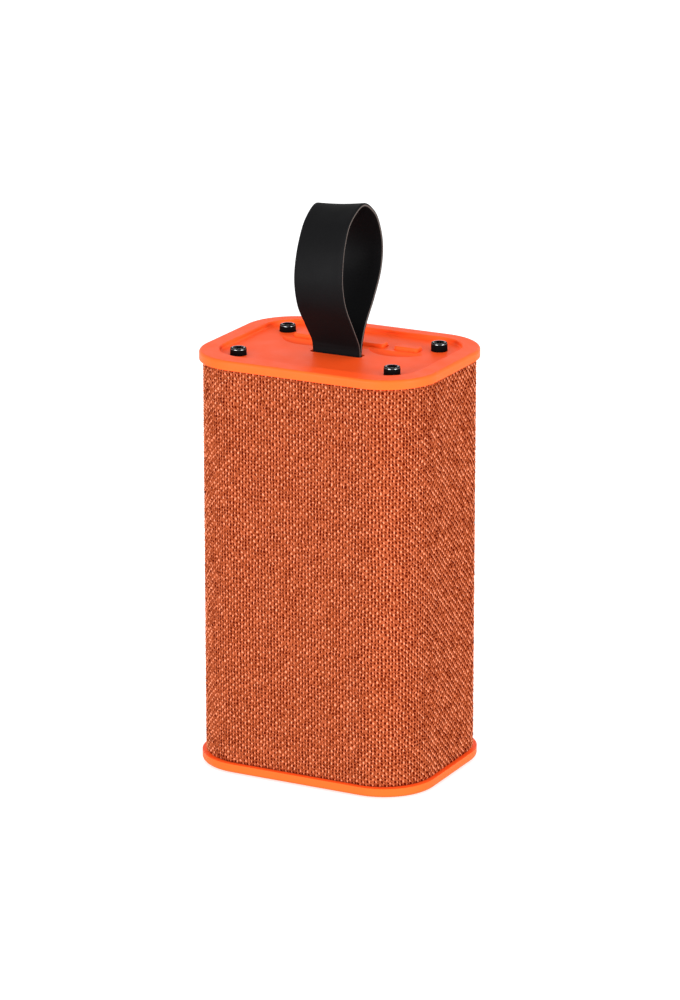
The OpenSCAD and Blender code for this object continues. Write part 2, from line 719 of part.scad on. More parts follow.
module port_screws() color("#8a8a8e") for (s = [-1, 1])
    translate([s * port_screw_x, 11.5, port_board_z]) cheese_screw(1.8, 1.1, 0.75, 5);

module usb_socket() color("#b9bcc0") translate([usb_x, 0, port_z - 1.25]) rotate([-90, 0, 0]) {
    translate([0, 0, 17]) difference() {
        linear_extrude(fabric_d / 2 - 17 - 0.3) plan(7.6, 2.6, 0.7);
        translate([0, 0, 1]) linear_extrude(20) plan(7, 2, 0.5);
    }
    translate([-1.8, -0.9, 17.5]) cube([3.6, 0.5, 6]);
}

module aux_jack() color("#1a1a1c") difference() {
    union() {
        translate([jack_x - 3, 12, port_board_z]) cube([6, 10, 2 * (port_z - port_board_z)]);
        translate([jack_x, 12, port_z]) rotate([-90, 0, 0]) cylinder(r = 2.55, h = fabric_d / 2 - 12.5);
    }
    translate([jack_x, 13, port_z]) rotate([-90, 0, 0]) cylinder(r = jack_r, h = cap_d);
}

module light_pipe() color("#e8ecef") translate([0, 17.5, port_z]) rotate([-90, 0, 0])
    cylinder(r = 0.75, h = fabric_d / 2 - 17.6);

// ---------- leads ----------

// routes from the driver tags and the cell's board up to the main board
lead_r = 0.55;
driver_route = [[18.9, -16.2, 78], [20, -12, 82], [20.5, -8, 92], [21.4, -4, 99], [21.4, -4, 103.4]];
battery_route = [[6, 8, 95.7], [11, 5, 96.4], [15, 2.4, 99], [15.3, 2.4, 103.4]];
// the ribbon's line seen from the side, as [distance behind the middle, height]
ribbon_line = [[16, 11.4], [15.6, 18], [12.6, 34], [11.4, 60], [11, 84], [9.6, 97], [9.5, 103.4]];

module lead_pair(route, apart) {
    color("#c22a22") wire(route, lead_r);
    color("#1c1c1e") wire([for (p = route) p + apart], lead_r);
}
module driver_leads() lead_pair(driver_route, [1.4, 0, 0]);
module battery_leads() lead_pair(battery_route, [0, 1.2, 0]);
module port_ribbon() color("#d8d8d4") translate([ribbon_x - 1.6, 0, 0]) rotate([90, 0, 90])
    linear_extrude(3.2) {
        line = smooth_line(ribbon_line, 4);
        far = beside(line, 0.3);
        polygon(concat(line, [for (i = [len(far) - 1 : -1 : 0]) far[i]]));
    }

top_cap();
base_cap();
fabric_sleeve();
shell();
front_grille();
baffle();
top_gasket();
base_gasket();
cap_screws();
base_screws();
cap_inserts();
base_inserts();
base_pad();
strap_loop();
strap_tail();
strap_pin();
strap_clamp();
clamp_screws();
key_power();
key_minus();
key_play();
key_plus();
key_switches();
main_board();
board_screws();
bluetooth_module();
module_shield();
amplifier_chip();
capacitors();
board_connectors();
driver_basket();
driver_surround();
driver_cone();
dust_cap();
voice_coil();
driver_spider();
driver_top_plate();
driver_magnet();
driver_yoke();
driver_terminals();
radiator_frame();
radiator_surround();
radiator_plate();
radiator_weight();
basket_gaskets();
basket_screws();
battery_cell();
battery_cradle();
battery_tape();
protection_board();
port_panel();
port_board();
port_screws();
usb_socket();
aux_jack();
light_pipe();
driver_leads();
battery_leads();
port_ribbon();
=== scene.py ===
import json
import math

import bpy
import numpy as np
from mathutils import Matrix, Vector


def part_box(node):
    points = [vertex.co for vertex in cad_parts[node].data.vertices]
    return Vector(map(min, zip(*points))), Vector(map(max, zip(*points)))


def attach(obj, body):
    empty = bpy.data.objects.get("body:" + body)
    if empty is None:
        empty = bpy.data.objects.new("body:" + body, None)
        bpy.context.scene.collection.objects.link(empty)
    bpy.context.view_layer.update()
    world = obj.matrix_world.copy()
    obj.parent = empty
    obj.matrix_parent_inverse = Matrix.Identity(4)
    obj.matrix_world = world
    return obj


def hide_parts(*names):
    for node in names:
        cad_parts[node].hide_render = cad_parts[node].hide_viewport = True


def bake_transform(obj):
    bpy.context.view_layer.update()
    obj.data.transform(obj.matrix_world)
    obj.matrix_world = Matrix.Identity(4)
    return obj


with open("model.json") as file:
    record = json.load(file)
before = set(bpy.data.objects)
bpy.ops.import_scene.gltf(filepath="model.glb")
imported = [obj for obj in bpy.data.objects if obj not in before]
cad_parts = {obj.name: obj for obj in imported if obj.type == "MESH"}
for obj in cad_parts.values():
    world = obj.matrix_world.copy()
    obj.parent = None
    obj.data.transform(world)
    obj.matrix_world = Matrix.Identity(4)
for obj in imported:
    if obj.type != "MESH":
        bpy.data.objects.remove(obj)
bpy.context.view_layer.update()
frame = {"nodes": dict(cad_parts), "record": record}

MM = 0.001
nodes = frame["nodes"]
slot_of = {part["node"]: part["material_slot"] for part in frame["record"]["subparts"]}


def corners(node):
    """A CAD node's lowest and highest corners, in millimetres."""
    low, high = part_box(node)
    return np.array(low) / MM, np.array(high) / MM


# ---------------------------------------------------------------- camera, light, floor

def add_camera():
    """The main view: a long lens, 27 degrees to the right of the front and 17 degrees up."""
    azimuth, elevation = math.radians(27.3), math.radians(16.7)
    distance = 1254 * MM
    lens = 164
    aim = Vector((-1.95, 3.88, 73.29)) * MM
    back = Vector((math.sin(azimuth) * math.cos(elevation),
                   -math.cos(azimuth) * math.cos(elevation), math.sin(elevation)))
    data = bpy.data.cameras.new("camera")
    data.lens = lens
    data.sensor_width = 36
    data.clip_start = 0.05
    camera = bpy.data.objects.new("camera", data)
    camera.location = aim + back * distance
    camera.rotation_euler = back.to_track_quat("Z", "Y").to_euler()
    bpy.context.scene.collection.objects.link(camera)
    bpy.context.scene.camera = camera


def add_softbox(name, place, size, power):
    """A white rectangular lamp, turned to the object's middle. place and size are in metres."""
    data = bpy.data.lights.new(name, "AREA")
    data.shape = "RECTANGLE"
    data.size, data.size_y = size
    data.energy = power
    lamp = bpy.data.objects.new(name, data)
    lamp.location = place
    direction = Vector((0, 0, 0.1)) - Vector(place)
    lamp.rotation_euler = direction.to_track_quat("-Z", "Y").to_euler()
    bpy.context.scene.collection.objects.link(lamp)


def add_world(strength):
    """White light from all round."""
    world = bpy.data.worlds.new("studio")
    world.use_nodes = True
    world.node_tree.nodes["Background"].inputs["Color"].default_value = (1, 1, 1, 1)
    world.node_tree.nodes["Background"].inputs["Strength"].default_value = strength
    bpy.context.scene.world = world


def add_floor():
    """White paper that glows a little, so that it stays white round the object."""
    half = 3.0
    mesh = bpy.data.meshes.new("floor")
    mesh.from_pydata([(-half, -half, 0), (half, -half, 0), (half, half, 0), (-half, half, 0)],
                     [], [(0, 1, 2, 3)])
    floor = bpy.data.objects.new("floor", mesh)
    bpy.context.scene.collection.objects.link(floor)
    material = bpy.data.materials.new("floor_paper")
    material.use_nodes = True
    shader = material.node_tree.nodes["Principled BSDF"]
    shader.inputs["Base Color"].default_value = (0.6, 0.6, 0.6, 1)
    shader.inputs["Roughness"].default_value = 0.95
    shader.inputs["Emission Color"].default_value = (1, 1, 1, 1)
    shader.inputs["Emission Strength"].default_value = 0.56
    mesh.materials.append(material)


add_camera()
add_world(1.0)
add_softbox("key", place=(-0.3, -1.5, 0.27), size=(1.0, 0.45), power=30)
add_softbox("side", place=(1.5, -0.3, 0.27), size=(0.8, 0.45), power=28)
add_floor()
bpy.context.scene.view_settings.view_transform = "Standard"


# ---------------------------------------------------------------- material graph helpers

class Graph:
    """A material's nodes, built by small calls that each return an output socket."""

    def __init__(self, name):
        self.material = bpy.data.materials.new(name)
        self.material.use_nodes = True
        self.tree = self.material.node_tree
        self.shader = self.tree.nodes["Principled BSDF"]
        self.coords = self.tree.nodes.new("ShaderNodeTexCoord").outputs["Object"]

    def _feed(self, socket, value):
        """Links an output socket, or sets a number or a colour."""
        if isinstance(value, bpy.types.NodeSocket):
            self.tree.links.new(value, socket)
        elif hasattr(value, "__len__") and len(value) == 3 and socket.type == "RGBA":
            socket.default_value = (*value, 1)
        else:
            socket.default_value = value

    def math(self, operation, *values, clamp=False):
        """The operation over numbers and sockets."""
        node = self.tree.nodes.new("ShaderNodeMath")
        node.operation = operation
        node.use_clamp = clamp
        for socket, value in zip(node.inputs, values):
            self._feed(socket, value)
        return node.outputs[0]

    def noise(self, scale, detail=2.0, roughness=0.5, stretch=None):
        """Noise from 0 to 1. scale is in features per metre; stretch scales the three axes."""
        node = self.tree.nodes.new("ShaderNodeTexNoise")
        vector = self.coords
        if stretch is not None:
            mapping = self.tree.nodes.new("ShaderNodeMapping")
            mapping.inputs["Scale"].default_value = stretch
            self.tree.links.new(vector, mapping.inputs["Vector"])
            vector = mapping.outputs["Vector"]
        self.tree.links.new(vector, node.inputs["Vector"])
        node.inputs["Scale"].default_value = scale
        node.inputs["Detail"].default_value = detail
        node.inputs["Roughness"].default_value = roughness
        return node.outputs["Fac"]

    def uneven(self, value, scale, amount):
        """value with noise added that spans amount."""
        wander = self.math("MULTIPLY_ADD", self.noise(scale, 3), amount, -amount / 2)
        return self.math("ADD", value, wander)

    def cells(self, scale):
        """Distance to the nearest of a cloud of scattered points, in cell sizes."""
        node = self.tree.nodes.new("ShaderNodeTexVoronoi")
        self.tree.links.new(self.coords, node.inputs["Vector"])
        node.inputs["Scale"].default_value = scale
        return node.outputs["Distance"]

    def attribute(self, name):
        """The three parts of a vector stored at the mesh's points."""
        node = self.tree.nodes.new("ShaderNodeAttribute")
        node.attribute_name = name
        split = self.tree.nodes.new("ShaderNodeSeparateXYZ")
        self.tree.links.new(node.outputs["Vector"], split.inputs["Vector"])
        return tuple(split.outputs)

    def chance(self, *seeds):
        """A random number from 0 to 1 for each set of three whole numbers."""
        cell = self.tree.nodes.new("ShaderNodeCombineXYZ")
        for socket, value in zip(cell.inputs, seeds):
            self._feed(socket, value)
        noise = self.tree.nodes.new("ShaderNodeTexWhiteNoise")
        self.tree.links.new(cell.outputs["Vector"], noise.inputs["Vector"])
        return noise.outputs["Value"]

    def mound(self, x, y, wide, high):
        """1 at the middle of an ellipse, 0 outside it."""
        reach = self.math("ADD", self.math("POWER", self.math("DIVIDE", x, wide), 2.0),
                          self.math("POWER", self.math("DIVIDE", y, high), 2.0))
        return self.math("SUBTRACT", 1.0, reach, clamp=True)

    def ramp(self, value, *stops):
        """Colours over a value: each stop is (position, (r, g, b))."""
        node = self.tree.nodes.new("ShaderNodeValToRGB")
        elements = node.color_ramp.elements
        while len(elements) < len(stops):
            elements.new(0.5)
        for element, (position, colour) in zip(elements, stops):
            element.position = position
            element.color = (*colour, 1)
        self._feed(node.inputs["Fac"], value)
        return node.outputs["Color"]

    def mix(self, share, a, b):
        """Colour a where share is 0, and b where it is 1."""
        node = self.tree.nodes.new("ShaderNodeMix")
        node.data_type = "RGBA"
        self._feed(node.inputs["Factor"], share)
        self._feed(node.inputs[6], a)
        self._feed(node.inputs[7], b)
        return node.outputs[2]

    def span(self, value, low, high, to_low, to_high):
        """value moved from the span low..high to to_low..to_high, clamped."""
        node = self.tree.nodes.new("ShaderNodeMapRange")
        limits = {"From Min": low, "From Max": high, "To Min": to_low, "To Max": to_high}
        for name, number in limits.items():
            node.inputs[name].default_value = number
        self._feed(node.inputs["Value"], value)
        return node.outputs["Result"]

    def bump(self, height, depth):
        """Bump of that real depth in metres."""
        node = self.tree.nodes.new("ShaderNodeBump")
        node.inputs["Strength"].default_value = 1.0
        node.inputs["Distance"].default_value = depth
        self.tree.links.new(height, node.inputs["Height"])
        self.tree.links.new(node.outputs["Normal"], self.shader.inputs["Normal"])

    def set(self, **values):
        """Feeds the shader's sockets: base_color is "Base Color", and so on."""
        for name, value in values.items():
            title = name.replace("_", " ").title().replace("Ior", "IOR")
            self._feed(self.shader.inputs[title], value)


def shade(colour, factor):
    """The colour made lighter or darker."""
    return tuple(min(1.0, c * factor) for c in colour)


def moulded(name, colour, roughness=0.45, grain=2600, depth=0.03, mottle=0.06, gloss=0.5):
    """Moulded plastic, rubber or lacquer: a fine grain, faint mottling and uneven gloss."""
    g = Graph(name)
    patches = g.noise(90, 4)
    g.set(base_color=g.ramp(patches, (0.3, shade(colour, 1 - mottle)), (0.7, shade(colour, 1 + mottle))),
          roughness=g.span(g.noise(160, 3), 0.3, 0.7, roughness - 0.05, roughness + 0.05),
          specular_ior_level=gloss)
    g.bump(g.noise(grain, 3), depth * MM)
    return g.material


def metal(name, colour, roughness=0.3, stretch=(1, 1, 30), metallic=1.0, gloss=0.5):
    """Turned, plated or ground metal: fine streaks in gloss and tone."""
    g = Graph(name)
    streaks = g.noise(700, 4, stretch=stretch)
    g.set(base_color=g.ramp(streaks, (0.25, shade(colour, 0.8)), (0.75, shade(colour, 1.1))),
          roughness=g.span(streaks, 0.3, 0.7, roughness - 0.08, roughness + 0.1), metallic=metallic,
          specular_ior_level=gloss)
    g.bump(streaks, 0.01 * MM)
    return g.material


def circuit(name, colour):
    """Solder mask over copper: tracks as a faint raised net, with tinned dots."""
    g = Graph(name)
    tracks = g.span(g.cells(420), 0.42, 0.5, 0, 1)
    dots = g.span(g.cells(900), 0.08, 0.12, 1, 0)
    tone = g.mix(tracks, colour, shade(colour, 1.8))
    g.set(base_color=g.mix(dots, tone, (0.62, 0.6, 0.54)), roughness=g.span(dots, 0, 1, 0.35, 0.25))
    g.bump(tracks, 0.035 * MM)
    return g.material


def fibres(name, light, dark):
    """Paper pulp or resin-treated cloth: short crossed fibres."""
    g = Graph(name)
    across = g.noise(1500, 4, stretch=(1, 1, 5))
    along = g.noise(1500, 4, stretch=(5, 1, 1))
    both = g.math("MULTIPLY", across, along)
    g.set(base_color=g.ramp(both, (0.15, dark), (0.4, light)), roughness=0.85)
    g.bump(both, 0.12 * MM)
    return g.material


def foam(name, colour):
    """Open foam: dark pores in a lighter skin."""
    g = Graph(name)
    pores = g.cells(1800)
    g.set(base_color=g.ramp(pores, (0.1, shade(colour, 0.4)), (0.6, shade(colour, 1.3))), roughness=0.95)
    g.bump(pores, 0.15 * MM)
    return g.material


# ---------------------------------------------------------------- the object's materials

CORAL = (0.95, 0.086, 0.012)

# one for each material slot of the record but the cloth's, then two finishes of detailed pieces
materials = {
    "cap_plastic": moulded("cap_plastic", CORAL, 0.42, grain=3500, depth=0.012, mottle=0.02, gloss=0.07),
    "shell_plastic": moulded("shell_plastic", (0.025, 0.025, 0.027), 0.55),
    "grille_steel": moulded("grille_steel", (0.03, 0.03, 0.032), 0.5, grain=5000),
    "foam_rubber": foam("foam_rubber", (0.02, 0.02, 0.02)),
    "black_steel": metal("black_steel", (0.0035, 0.0035, 0.0038), 0.28, metallic=0, gloss=0.02),
    "insert_brass": metal("insert_brass", (0.72, 0.5, 0.2), 0.3, stretch=(30, 30, 1)),
    "pad_rubber": moulded("pad_rubber", (0.02, 0.02, 0.021), 0.75, grain=1500, depth=0.06),
    "strap_rubber": moulded("strap_rubber", (0.0028, 0.0028, 0.0031), 0.55, grain=2200, gloss=0.05),
    "plain_steel": metal("plain_steel", (0.56, 0.57, 0.6), 0.26),
    "switch_plastic": moulded("switch_plastic", (0.55, 0.54, 0.5), 0.5),
    "circuit_board": circuit("circuit_board", (0.015, 0.1, 0.045)),
    "module_board": circuit("module_board", (0.012, 0.04, 0.13)),
    "tinned_steel": metal("tinned_steel", (0.7, 0.71, 0.72), 0.3, stretch=(8, 1, 1)),
    "chip_plastic": moulded("chip_plastic", (0.014, 0.014, 0.015), 0.6, grain=4000),
    "capacitor_can": metal("capacitor_can", (0.6, 0.62, 0.66), 0.25, stretch=(30, 30, 1)),
    "connector_plastic": moulded("connector_plastic", (0.75, 0.71, 0.6), 0.45),
    "basket_steel": moulded("basket_steel", (0.03, 0.03, 0.032), 0.42, grain=3000),
    "surround_rubber": moulded("surround_rubber", (0.012, 0.012, 0.013), 0.42, grain=2500),
    "cone_paper": fibres("cone_paper", (0.05, 0.05, 0.052), (0.016, 0.016, 0.017)),
    "coil_copper": metal("coil_copper", (0.72, 0.27, 0.1), 0.25, stretch=(1, 40, 1)),
    "spider_cloth": fibres("spider_cloth", (0.6, 0.4, 0.14), (0.3, 0.18, 0.05)),
    "magnet_ferrite": metal("magnet_ferrite", (0.07, 0.07, 0.075), 0.5, metallic=0.3),
    "contact_brass": metal("contact_brass", (0.76, 0.58, 0.26), 0.28),
    "cell_wrap": moulded("cell_wrap", (0.02, 0.12, 0.38), 0.2, grain=700, depth=0.02),
    "panel_plastic": moulded("panel_plastic", (0.016, 0.016, 0.017), 0.6, grain=3200),
    "jack_plastic": moulded("jack_plastic", (0.014, 0.014, 0.015), 0.4),
    "clear_plastic": moulded("clear_plastic", (0.75, 0.78, 0.8), 0.15, depth=0.005),
    "lead_pvc": moulded("lead_pvc", (0.5, 0.02, 0.015), 0.35),
    "ribbon_film": moulded("ribbon_film", (0.6, 0.6, 0.58), 0.3),
    "rubbed_steel": metal("rubbed_steel", (0.012, 0.012, 0.013), 0.16, metallic=0, gloss=0.9),
    # a lighter colour painted as a highlight on the strap's cut edge
    "strap_edge_highlight": moulded("strap_edge_highlight", (0.068, 0.053, 0.047), 0.6, gloss=0.1),
}


def dress_cad_nodes():
    """Every CAD node takes the procedural material of its record slot."""
    for name, node in nodes.items():
        material = materials.get(slot_of[name])
        if material is None:
            continue
        if not node.material_slots:
            node.data.materials.append(material)
        for slot in node.material_slots:
            slot.link = "OBJECT"
            slot.material = material


dress_cad_nodes()


# ---------------------------------------------------------------- meshes

def new_piece(name, points, faces, finishes, parts=None, weave=None):
    """A smooth mesh object from points in millimetres. parts gives each face's number in finishes,
    and weave each point's thread counts."""
    mesh = bpy.data.meshes.new(name)
    mesh.from_pydata((points * MM).tolist(), [], faces.tolist())
    mesh.polygons.foreach_set("use_smooth", [True] * len(faces))
    for finish in finishes:
        mesh.materials.append(finish)
    if parts is not None:
        mesh.polygons.foreach_set("material_index", parts.astype(np.int32))
    if weave is not None:
        data = mesh.attributes.new("weave", "FLOAT_VECTOR", "POINT").data
        data.foreach_set("vector", weave.astype(np.float32).ravel())
    mesh.update()
    piece = bpy.data.objects.new(name, mesh)
    bpy.context.scene.collection.objects.link(piece)
    return piece


def tube_faces(rings, sides, closed=False):
    """Quads between rings of points. closed joins the last ring to the first."""
    k = np.arange(sides)
    k2 = (k + 1) % sides
    bands = []
    for ring in range(rings if closed else rings - 1):
        lower, upper = ring * sides, (ring + 1) % rings * sides
        bands.append(np.column_stack([lower + k, lower + k2, upper + k2, upper + k]))
    return np.concatenate(bands)


def rounded_outline(width, depth, radius, s):
    """Place and outward normal on a rounded rectangle, s millimetres round it from the back's middle,
    first towards +X."""
    straight_x, straight_y = width - 2 * radius, depth - 2 * radius
    arc = math.pi * radius / 2
    runs = [straight_x / 2, arc, straight_y, arc, straight_x, arc, straight_y, arc, straight_x / 2]
    ends = np.cumsum(runs)
    places, normals = np.zeros((len(s), 2)), np.zeros((len(s), 2))
    heading, start = 0.0, np.array([0.0, depth / 2])
    for index, run in enumerate(runs):
        begin = ends[index] - run
        here = (s >= begin - 1e-9) & (s <= ends[index] + 1e-9)
        along = s[here] - begin
        forward = np.array([math.cos(heading), math.sin(heading)])
        outward = np.array([-forward[1], forward[0]])
        if index % 2 == 0:
            places[here] = start + along[:, None] * forward
            normals[here] = outward
            start = start + run * forward
        else:
            turn = along / radius
            centre = start - radius * outward
            normals[here] = np.cos(turn)[:, None] * outward + np.sin(turn)[:, None] * forward
            places[here] = centre + radius * normals[here]
            start = centre + radius * forward
            heading -= math.pi / 2
    return places, normals


def outline_length(width, depth, radius):
    """Once round a rounded rectangle."""
    return 2 * (width + depth) - (8 - 2 * math.pi) * radius


# ---------------------------------------------------------------- woven cloth

THREAD = 0.95       # width of a warp thread, mm
PICK = 0.9          # height of a weft pick, mm
CLOTH_RADIUS = 14.8

# yarn from dark to light, lightest in the painted highlight on each float's crown; painted shade in the
# gaps between threads; and painted shade under a cap's edge
WARP_TONES = ((0.0, (0.15, 0.017, 0.002)), (0.35, (0.27, 0.052, 0.015)),
              (0.7, (0.48, 0.129, 0.058)), (1.0, (0.62, 0.21, 0.115)))
WEFT_TONES = ((0.2, (0.14, 0.018, 0.002)), (0.8, (0.39, 0.089, 0.035)))
GAP_SHADE_TONE = (0.055, 0.001, 0.0001)
CAP_EDGE_SHADE_TONE = (0.06, 0.002, 0.0003)


def cloth_material():
    """Plain weave from the "weave" attribute, which counts warp threads and weft picks."""
    g = Graph("woven_fabric")
    thread, pick, tuck = g.attribute("weave")
    thread = g.uneven(thread, 420, 1.1)
    pick = g.uneven(pick, 460, 1.3)

    # a warp thread floats over every second pick: turn counts its floats, along runs up each one
    column = g.math("FLOOR", thread)
    across = g.math("SUBTRACT", g.math("FRACT", thread), 0.5)
    turn = g.math("DIVIDE", g.math("ADD", g.math("ADD", pick, 0.5), g.math("MODULO", column, 2.0)), 2.0)
    along = g.math("SUBTRACT", g.math("FRACT", turn), 0.5)
    float_luck = g.chance(column, g.math("FLOOR", turn), 1)
    side_luck = g.chance(column, g.math("FLOOR", turn), 2)
    aside = g.math("MULTIPLY_ADD", side_luck, 0.3, -0.15)
    # the yarn's twist makes each float lean
    leaning = g.math("MULTIPLY_ADD", along, -0.1, g.math("ADD", across, aside))
    warp = g.mound(leaning, along, 0.43, 0.33)
    # painted highlight on the top of each warp float, shifted a little at random
    crown_highlight = g.mound(leaning, g.math("ADD", along, g.math("MULTIPLY", aside, 0.6)), 0.36, 0.3)

    # a gap lies on the seam between two threads at each pick: a dip in the bump, and painted shade in the
    # colour
    row = g.math("FLOOR", pick)
    rise = g.math("SUBTRACT", g.math("SUBTRACT", pick, row), 0.5)
    seam_line = g.math("MULTIPLY_ADD", rise, -0.1, thread)
    seam = g.math("ROUND", seam_line)
    off_seam = g.math("SUBTRACT", seam_line, seam)
    gap_luck = g.chance(seam, row, 5)
    # 1 where the thread before the seam is the one that floats: that side lies in its shade
    shaded = g.math("MODULO", g.math("ADD", seam, row), 2.0)
    depth = g.math("MULTIPLY_ADD", shaded, 0.9, g.math("MULTIPLY_ADD", gap_luck, 1.3, 0.2))
    gap = g.math("MULTIPLY", g.mound(off_seam, rise, 0.36, 0.5), depth, clamp=True)

    # fine hairs and slow thick places in the yarn
    hair = g.noise(2600, 3, 0.65, stretch=(1, 1, 0.5))
    slub = g.noise(230, 3, 0.6)
    # the warp's light end is the painted highlight on the crown, stronger on some floats at random
    bright = g.math("MULTIPLY", crown_highlight, g.math("MULTIPLY_ADD", float_luck, 0.45, 0.8))
    bright = g.math("MULTIPLY_ADD", hair, 1.1, g.math("MULTIPLY_ADD", bright, 0.84, -0.46))
    warp_colour = g.ramp(bright, *WARP_TONES)
    weft_colour = g.ramp(g.math("MULTIPLY_ADD", hair, 1.3, g.math("MULTIPLY_ADD", slub, 0.4, -0.35)),
                         *WEFT_TONES)
    colour = g.mix(g.math("MULTIPLY", warp, 2.2, clamp=True), weft_colour, warp_colour)
    # painted shade in the gaps between threads
    colour = g.mix(g.math("MULTIPLY", gap, 0.95), colour, GAP_SHADE_TONE)
    # painted shade under a cap's edge, where the cloth is tucked in
    colour = g.mix(g.math("MULTIPLY", tuck, 0.75), colour, CAP_EDGE_SHADE_TONE)
    g.set(base_color=colour, roughness=0.9, specular_ior_level=0.0)
    height = g.math("MULTIPLY_ADD", gap, -0.5, g.math("ADD", warp, g.math("MULTIPLY", hair, 0.2)))
    g.bump(height, 0.12 * MM)
    return g.material


def with_opening(points, faces):
    """The mesh with an opening round the port panel at the back: points inside it that a kept face
    uses move out to its edge."""
    low, high = corners("port_panel")
    gap = 0.1
    radius = 3.1        # of the opening's corners
    middle = (low + high)[[0, 2]] / 2
    half = (high - low)[[0, 2]] / 2 + gap - radius
    offset = points[:, [0, 2]] - middle
    beyond = np.abs(offset) - half
    outside = np.maximum(beyond, 0)
    reach = np.linalg.norm(outside, axis=1) + np.minimum(beyond.max(axis=1), 0)
    inside = (reach < radius) & (points[:, 1] > 0)
    faces = faces[~inside[faces].all(axis=1)]
    for k in np.flatnonzero(inside):
        if (outside[k] > 0).all():
            edge = half + outside[k] * radius / np.linalg.norm(outside[k])
        else:
            side = beyond[k].argmax()
            edge = np.abs(offset[k])
            edge[side] = half[side] + radius
        points[k, [0, 2]] = middle + np.where(offset[k] < 0, -edge, edge)
    return points, faces


def build_cloth():
    """The sleeve: one sheet wrapped round the shell with its seam at the back, each crossing of the
    weave raised in the mesh."""
    low, high = corners("fabric_sleeve")
    width, depth, tall = high - low
    girth = outline_length(width, depth, CLOTH_RADIUS)
    columns = 2 * round(girth / THREAD / 2)
    rows = round(tall / PICK)
    rng = np.random.default_rng(7)
    # heights over the sleeve's surface, in millimetres
    valley, warp_top, weft_top, unevenness = -0.28, 0.15, -0.1, 0.03
    reach = 0.22        # from the middle of a crossing to either end of its ridge, in crossings
    tuck_picks, tuck_depth = 0.9, 0.3

    def on_sleeve(s, z, height):
        """Points and their weave counts, from counts of threads and picks and a height in mm. The
        third count says how far the point is tucked in under a cap."""
        places, normals = rounded_outline(width, depth, CLOTH_RADIUS, np.clip(s / columns, 0, 1) * girth)
        tuck = np.clip(1 - np.minimum(z, rows - z) / tuck_picks, 0, 1)
        height = height - tuck_depth * tuck
        points = np.column_stack([places + normals * height[:, None], low[2] + z / rows * tall])
        return points, np.column_stack([s, z, tuck])

    i, j = (t.ravel() for t in np.meshgrid(np.arange(columns + 1), np.arange(rows + 1), indexing="ij"))
    corner_points, corner_weave = on_sleeve(i, j, np.full(len(i), valley))
    i, j = (t.ravel() for t in np.meshgrid(np.arange(columns), np.arange(rows), indexing="ij"))
    is_warp = (i + j) % 2 == 0
    tops = np.where(is_warp, warp_top, weft_top) + rng.normal(0, unevenness, len(i))
    aside, up = np.where(is_warp, 0, reach), np.where(is_warp, reach, 0)
    first_points, first_weave = on_sleeve(i + 0.5 - aside, j + 0.5 - up, tops)
    last_points, last_weave = on_sleeve(i + 0.5 + aside, j + 0.5 + up, tops)

    # each crossing is a hipped roof: corners a, b, c and d, and a ridge from e to f on the top thread
    a = i * (rows + 1) + j
    b, c, d = a + rows + 1, a + rows + 2, a + 1
    e = len(corner_points) + np.arange(len(i))
    f = e + len(i)
    # a warp ridge runs up and a weft ridge runs across, which is the same roof turned by a quarter
    a, b, c, d = (np.where(is_warp, one, other) for one, other in ((a, d), (b, a), (c, b), (d, c)))
    # s runs clockwise seen from above, so this order faces outwards
    faces = np.concatenate([np.stack(t, axis=1) for t in
                            ((b, a, e), (c, b, f), (b, e, f), (d, c, f), (a, d, e), (e, d, f))])

    points, faces = with_opening(np.concatenate([corner_points, first_points, last_points]), faces)
    piece = new_piece("cloth_sleeve", points, faces, [cloth_material()],
                      weave=np.concatenate([corner_weave, first_weave, last_weave]))
    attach(piece, "housing")
    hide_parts("fabric_sleeve")


# ---------------------------------------------------------------- cap screws

SCREW_SIDES = 72
SCREW_FINISHES = ("black_steel", "rubbed_steel", "plain_steel")


def screw_profile(head_r, shank_end):
    """A socket screw's rings of radius and height, from the tip of its shank over the head and down
    the socket, with the head's top at 0. Also the finish of the band that follows each ring."""
    shank_r, pitch, thread_depth = 1.25, 0.45, 0.16
    under, knurl_top, knurl_depth = -2.5, -0.62, 0.09
    lip_r, mouth_r = 1.74, 1.57
    socket_r, socket_depth = 1.04, 1.4      # half across the hexagon's flats
    side = np.arange(SCREW_SIDES)
    knurl = head_r - knurl_depth * (side % 2)
    hexagon = socket_r / np.cos(np.radians((side * 360 / SCREW_SIDES + 15) % 60 - 30))
    shank = [(0, shank_end), (shank_r - 0.3, shank_end)]
    for z in np.arange(shank_end + 0.3, under - pitch, pitch):
        shank += [(shank_r - thread_depth, z), (shank_r, z + pitch / 2)]
    shank.append((shank_r, under))
    head = [(head_r - 0.15, under), (knurl, under + 0.15), (knurl, knurl_top),
            (head_r - 0.02, -0.5), (head_r - 0.02, -0.42)]
    shoulder = [(head_r - 0.08, -0.2), (head_r - 0.12, -0.12), (head_r - 0.4, 0), (lip_r, 0)]
    socket = [(mouth_r, -0.02), (hexagon, -0.45), (hexagon, -socket_depth), (0.0, -socket_depth - 0.2)]
    rings = shank + head + shoulder + socket
    finish = np.full(len(rings) - 1, SCREW_FINISHES.index("black_steel"))
    finish[len(shank + head) - 1] = SCREW_FINISHES.index("rubbed_steel")
    finish[len(shank + head + shoulder) - 1] = SCREW_FINISHES.index("plain_steel")
    return rings, finish


def lathe(rings, sides):
    """Points of a shape turned round Z: each ring is (radius at each angle, height)."""
    angles = np.arange(sides) * 2 * math.pi / sides
    return np.concatenate([np.column_stack([r * np.cos(angles), r * np.sin(angles), np.full(sides, z)])
                           for r, z in rings])


